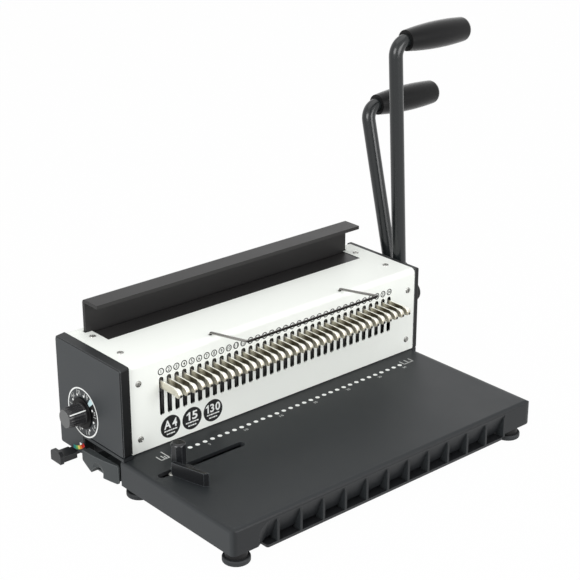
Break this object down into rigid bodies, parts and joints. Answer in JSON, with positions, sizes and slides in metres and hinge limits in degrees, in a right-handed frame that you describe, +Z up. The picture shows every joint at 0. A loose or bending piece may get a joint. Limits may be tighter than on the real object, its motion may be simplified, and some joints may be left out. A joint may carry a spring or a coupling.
{
  "type": "twin-loop wire binding machine",
  "caption": "Desktop paper punch and wire closer with two side levers, a row of pin pulls, a paper bed with side guide, a size dial and a chip tray.",
  "frame": {"origin": "middle of the whole machine's box in plan, on the surface that the feet stand on", "axes": "+X along the row of holes towards the levers, +Y from the front of the paper bed to the back, +Z up"},
  "size_m": [0.5088, 0.275, 0.3547],
  "materials": {
    "bed_plastic": "fine matt grain, charcoal",
    "base_paint": "satin black",
    "foot_rubber": "soft matt black",
    "cover_paint": "satin white powder coat",
    "end_plastic": "fine matt grain, dark grey",
    "frame_steel": "plain steel",
    "tool_steel": "ground steel",
    "pull_steel": "nickel plated",
    "bar_black": "black oxide, satin",
    "tube_black": "gloss black",
    "grip_foam": "soft matt foam",
    "knob_plastic": "gloss black",
    "lever_black": "satin black",
    "tray_plastic": "matt black",
    "guide_plastic": "semi-gloss black",
    "rack_wire": "bright plated wire",
    "spring_steel": "spring wire"
  },
  "bodies": {
    "frame": {"bed_table": "bed_plastic", "base_plate": "base_paint", "rubber_feet": "foot_rubber", "cover": "cover_paint", "left_end_cover": "end_plastic", "right_end_cover": "end_plastic", "side_frames": "frame_steel", "die_block": "tool_steel", "wire_anvil": "bar_black", "wire_rack": "rack_wire", "return_springs": "spring_steel"},
    "punch_crank": {"punch_shaft": "frame_steel", "punch_handle": "tube_black", "punch_grip": "grip_foam"},
    "punch_ram": {"punch_beam": "frame_steel", "punch_pins": "tool_steel"},
    "closer_crank": {"closer_shaft": "frame_steel", "closer_handle": "tube_black", "closer_grip": "grip_foam"},
    "closer": {"closer_bar": "bar_black"},
    "dial": {"dial_knob": "knob_plastic"},
    "depth": {"depth_lever": "lever_black"},
    "stop": {"paper_stop": "tool_steel"},
    "tray": {"chip_tray": "tray_plastic"},
    "guide": {"side_guide": "guide_plastic"},
    "guide_screw": {"guide_knob": "knob_plastic"},
    "pull_01": {"pin_pull_01": "pull_steel"},
    "pull_02": {"pin_pull_02": "pull_steel"},
    "pull_03": {"pin_pull_03": "pull_steel"},
    "pull_04": {"pin_pull_04": "pull_steel"},
    "pull_05": {"pin_pull_05": "pull_steel"},
    "pull_06": {"pin_pull_06": "pull_steel"},
    "pull_07": {"pin_pull_07": "pull_steel"},
    "pull_08": {"pin_pull_08": "pull_steel"},
    "pull_09": {"pin_pull_09": "pull_steel"},
    "pull_10": {"pin_pull_10": "pull_steel"},
    "pull_11": {"pin_pull_11": "pull_steel"},
    "pull_12": {"pin_pull_12": "pull_steel"},
    "pull_13": {"pin_pull_13": "pull_steel"},
    "pull_14": {"pin_pull_14": "pull_steel"},
    "pull_15": {"pin_pull_15": "pull_steel"},
    "pull_16": {"pin_pull_16": "pull_steel"},
    "pull_17": {"pin_pull_17": "pull_steel"},
    "pull_18": {"pin_pull_18": "pull_steel"},
    "pull_19": {"pin_pull_19": "pull_steel"},
    "pull_20": {"pin_pull_20": "pull_steel"},
    "pull_21": {"pin_pull_21": "pull_steel"},
    "pull_22": {"pin_pull_22": "pull_steel"},
    "pull_23": {"pin_pull_23": "pull_steel"},
    "pull_24": {"pin_pull_24": "pull_steel"},
    "pull_25": {"pin_pull_25": "pull_steel"},
    "pull_26": {"pin_pull_26": "pull_steel"},
    "pull_27": {"pin_pull_27": "pull_steel"},
    "pull_28": {"pin_pull_28": "pull_steel"},
    "pull_29": {"pin_pull_29": "pull_steel"},
    "pull_30": {"pin_pull_30": "pull_steel"},
    "pull_31": {"pin_pull_31": "pull_steel"},
    "pull_32": {"pin_pull_32": "pull_steel"},
    "pull_33": {"pin_pull_33": "pull_steel"},
    "pull_34": {"pin_pull_34": "pull_steel"}
  },
  "joints": [
    {"name": "punch_handle_swing", "type": "hinge", "parent": "frame", "child": "punch_crank", "pos_m": [-0.04815, 0.05597, 0.108], "axis": [1, 0, 0], "range_deg": [0, 75], "stiffness_Nm_per_rad": 0.35, "springref_deg": -68.75},
    {"name": "punch_stroke", "type": "slide", "parent": "frame", "child": "punch_ram", "axis": [0, 0, -1], "range_m": [0, 0.02]},
    {"name": "closer_handle_swing", "type": "hinge", "parent": "frame", "child": "closer_crank", "pos_m": [-0.04815, 0.07917, 0.082], "axis": [1, 0, 0], "range_deg": [0, 70], "stiffness_Nm_per_rad": 0.3, "springref_deg": -68.75},
    {"name": "closer_stroke", "type": "slide", "parent": "frame", "child": "closer", "axis": [0, 0, -1], "range_m": [0, 0.018]},
    {"name": "wire_size_dial_turn", "type": "hinge", "parent": "frame", "child": "dial", "pos_m": [-0.23415, 0.07557, 0.062], "axis": [-1, 0, 0], "range_deg": [-150, 150]},
    {"name": "depth_lever_swing", "type": "hinge", "parent": "frame", "child": "depth", "pos_m": [-0.19815, 0.09807, 0.014], "axis": [0, 0, 1], "range_deg": [-6, 11]},
    {"name": "paper_stop_shift", "type": "slide", "parent": "frame", "child": "stop", "axis": [0, 1, 0], "range_m": [-0.0015, 0.0027]},
    {"name": "chip_tray_slide", "type": "slide", "parent": "frame", "child": "tray", "axis": [-1, 0, 0], "range_m": [0, 0.2]},
    {"name": "side_guide_slide", "type": "slide", "parent": "frame", "child": "guide", "axis": [1, 0, 0], "range_m": [-0.014, 0.069]},
    {"name": "guide_knob_turn", "type": "hinge", "parent": "guide", "child": "guide_screw", "pos_m": [-0.20425, -0.02503, 0.043], "axis": [0, 0, 1], "range_deg": [-90, 90]},
    {"name": "pin_pull_01_slide", "type": "slide", "parent": "punch_ram", "child": "pull_01", "axis": [0, -1, 0], "range_m": [0, 0.008]},
    {"name": "pin_pull_02_slide", "type": "slide", "parent": "punch_ram", "child": "pull_02", "axis": [0, -1, 0], "range_m": [0, 0.008]},
    {"name": "pin_pull_03_slide", "type": "slide", "parent": "punch_ram", "child": "pull_03", "axis": [0, -1, 0], "range_m": [0, 0.008]},
    {"name": "pin_pull_04_slide", "type": "slide", "parent": "punch_ram", "child": "pull_04", "axis": [0, -1, 0], "range_m": [0, 0.008]},
    {"name": "pin_pull_05_slide", "type": "slide", "parent": "punch_ram", "child": "pull_05", "axis": [0, -1, 0], "range_m": [0, 0.008]},
    {"name": "pin_pull_06_slide", "type": "slide", "parent": "punch_ram", "child": "pull_06", "axis": [0, -1, 0], "range_m": [0, 0.008]},
    {"name": "pin_pull_07_slide", "type": "slide", "parent": "punch_ram", "child": "pull_07", "axis": [0, -1, 0], "range_m": [0, 0.008]},
    {"name": "pin_pull_08_slide", "type": "slide", "parent": "punch_ram", "child": "pull_08", "axis": [0, -1, 0], "range_m": [0, 0.008]},
    {"name": "pin_pull_09_slide", "type": "slide", "parent": "punch_ram", "child": "pull_09", "axis": [0, -1, 0], "range_m": [0, 0.008]},
    {"name": "pin_pull_10_slide", "type": "slide", "parent": "punch_ram", "child": "pull_10", "axis": [0, -1, 0], "range_m": [0, 0.008]},
    {"name": "pin_pull_11_slide", "type": "slide", "parent": "punch_ram", "child": "pull_11", "axis": [0, -1, 0], "range_m": [0, 0.008]},
    {"name": "pin_pull_12_slide", "type": "slide", "parent": "punch_ram", "child": "pull_12", "axis": [0, -1, 0], "range_m": [0, 0.008]},
    {"name": "pin_pull_13_slide", "type": "slide", "parent": "punch_ram", "child": "pull_13", "axis": [0, -1, 0], "range_m": [0, 0.008]},
    {"name": "pin_pull_14_slide", "type": "slide", "parent": "punch_ram", "child": "pull_14", "axis": [0, -1, 0], "range_m": [0, 0.008]},
    {"name": "pin_pull_15_slide", "type": "slide", "parent": "punch_ram", "child": "pull_15", "axis": [0, -1, 0], "range_m": [0, 0.008]},
    {"name": "pin_pull_16_slide", "type": "slide", "parent": "punch_ram", "child": "pull_16", "axis": [0, -1, 0], "range_m": [0, 0.008]},
    {"name": "pin_pull_17_slide", "type": "slide", "parent": "punch_ram", "child": "pull_17", "axis": [0, -1, 0], "range_m": [0, 0.008]},
    {"name": "pin_pull_18_slide", "type": "slide", "parent": "punch_ram", "child": "pull_18", "axis": [0, -1, 0], "range_m": [0, 0.008]},
    {"name": "pin_pull_19_slide", "type": "slide", "parent": "punch_ram", "child": "pull_19", "axis": [0, -1, 0], "range_m": [0, 0.008]},
    {"name": "pin_pull_20_slide", "type": "slide", "parent": "punch_ram", "child": "pull_20", "axis": [0, -1, 0], "range_m": [0, 0.008]},
    {"name": "pin_pull_21_slide", "type": "slide", "parent": "punch_ram", "child": "pull_21", "axis": [0, -1, 0], "range_m": [0, 0.008]},
    {"name": "pin_pull_22_slide", "type": "slide", "parent": "punch_ram", "child": "pull_22", "axis": [0, -1, 0], "range_m": [0, 0.008]},
    {"name": "pin_pull_23_slide", "type": "slide", "parent": "punch_ram", "child": "pull_23", "axis": [0, -1, 0], "range_m": [0, 0.008]},
    {"name": "pin_pull_24_slide", "type": "slide", "parent": "punch_ram", "child": "pull_24", "axis": [0, -1, 0], "range_m": [0, 0.008]},
    {"name": "pin_pull_25_slide", "type": "slide", "parent": "punch_ram", "child": "pull_25", "axis": [0, -1, 0], "range_m": [0, 0.008]},
    {"name": "pin_pull_26_slide", "type": "slide", "parent": "punch_ram", "child": "pull_26", "axis": [0, -1, 0], "range_m": [0, 0.008]},
    {"name": "pin_pull_27_slide", "type": "slide", "parent": "punch_ram", "child": "pull_27", "axis": [0, -1, 0], "range_m": [0, 0.008]},
    {"name": "pin_pull_28_slide", "type": "slide", "parent": "punch_ram", "child": "pull_28", "axis": [0, -1, 0], "range_m": [0, 0.008]},
    {"name": "pin_pull_29_slide", "type": "slide", "parent": "punch_ram", "child": "pull_29", "axis": [0, -1, 0], "range_m": [0, 0.008]},
    {"name": "pin_pull_30_slide", "type": "slide", "parent": "punch_ram", "child": "pull_30", "axis": [0, -1, 0], "range_m": [0, 0.008]},
    {"name": "pin_pull_31_slide", "type": "slide", "parent": "punch_ram", "child": "pull_31", "axis": [0, -1, 0], "range_m": [0, 0.008]},
    {"name": "pin_pull_32_slide", "type": "slide", "parent": "punch_ram", "child": "pull_32", "axis": [0, -1, 0], "range_m": [0, 0.008]},
    {"name": "pin_pull_33_slide", "type": "slide", "parent": "punch_ram", "child": "pull_33", "axis": [0, -1, 0], "range_m": [0, 0.008]},
    {"name": "pin_pull_34_slide", "type": "slide", "parent": "punch_ram", "child": "pull_34", "axis": [0, -1, 0], "range_m": [0, 0.008]}
  ],
  "couplings": [
    {"joint": "punch_stroke", "follows": "punch_handle_swing", "m_per_rad": 0.01527},
    {"joint": "closer_stroke", "follows": "closer_handle_swing", "m_per_rad": 0.01473},
    {"joint": "paper_stop_shift", "follows": "depth_lever_swing", "m_per_rad": 0.014}
  ]
}
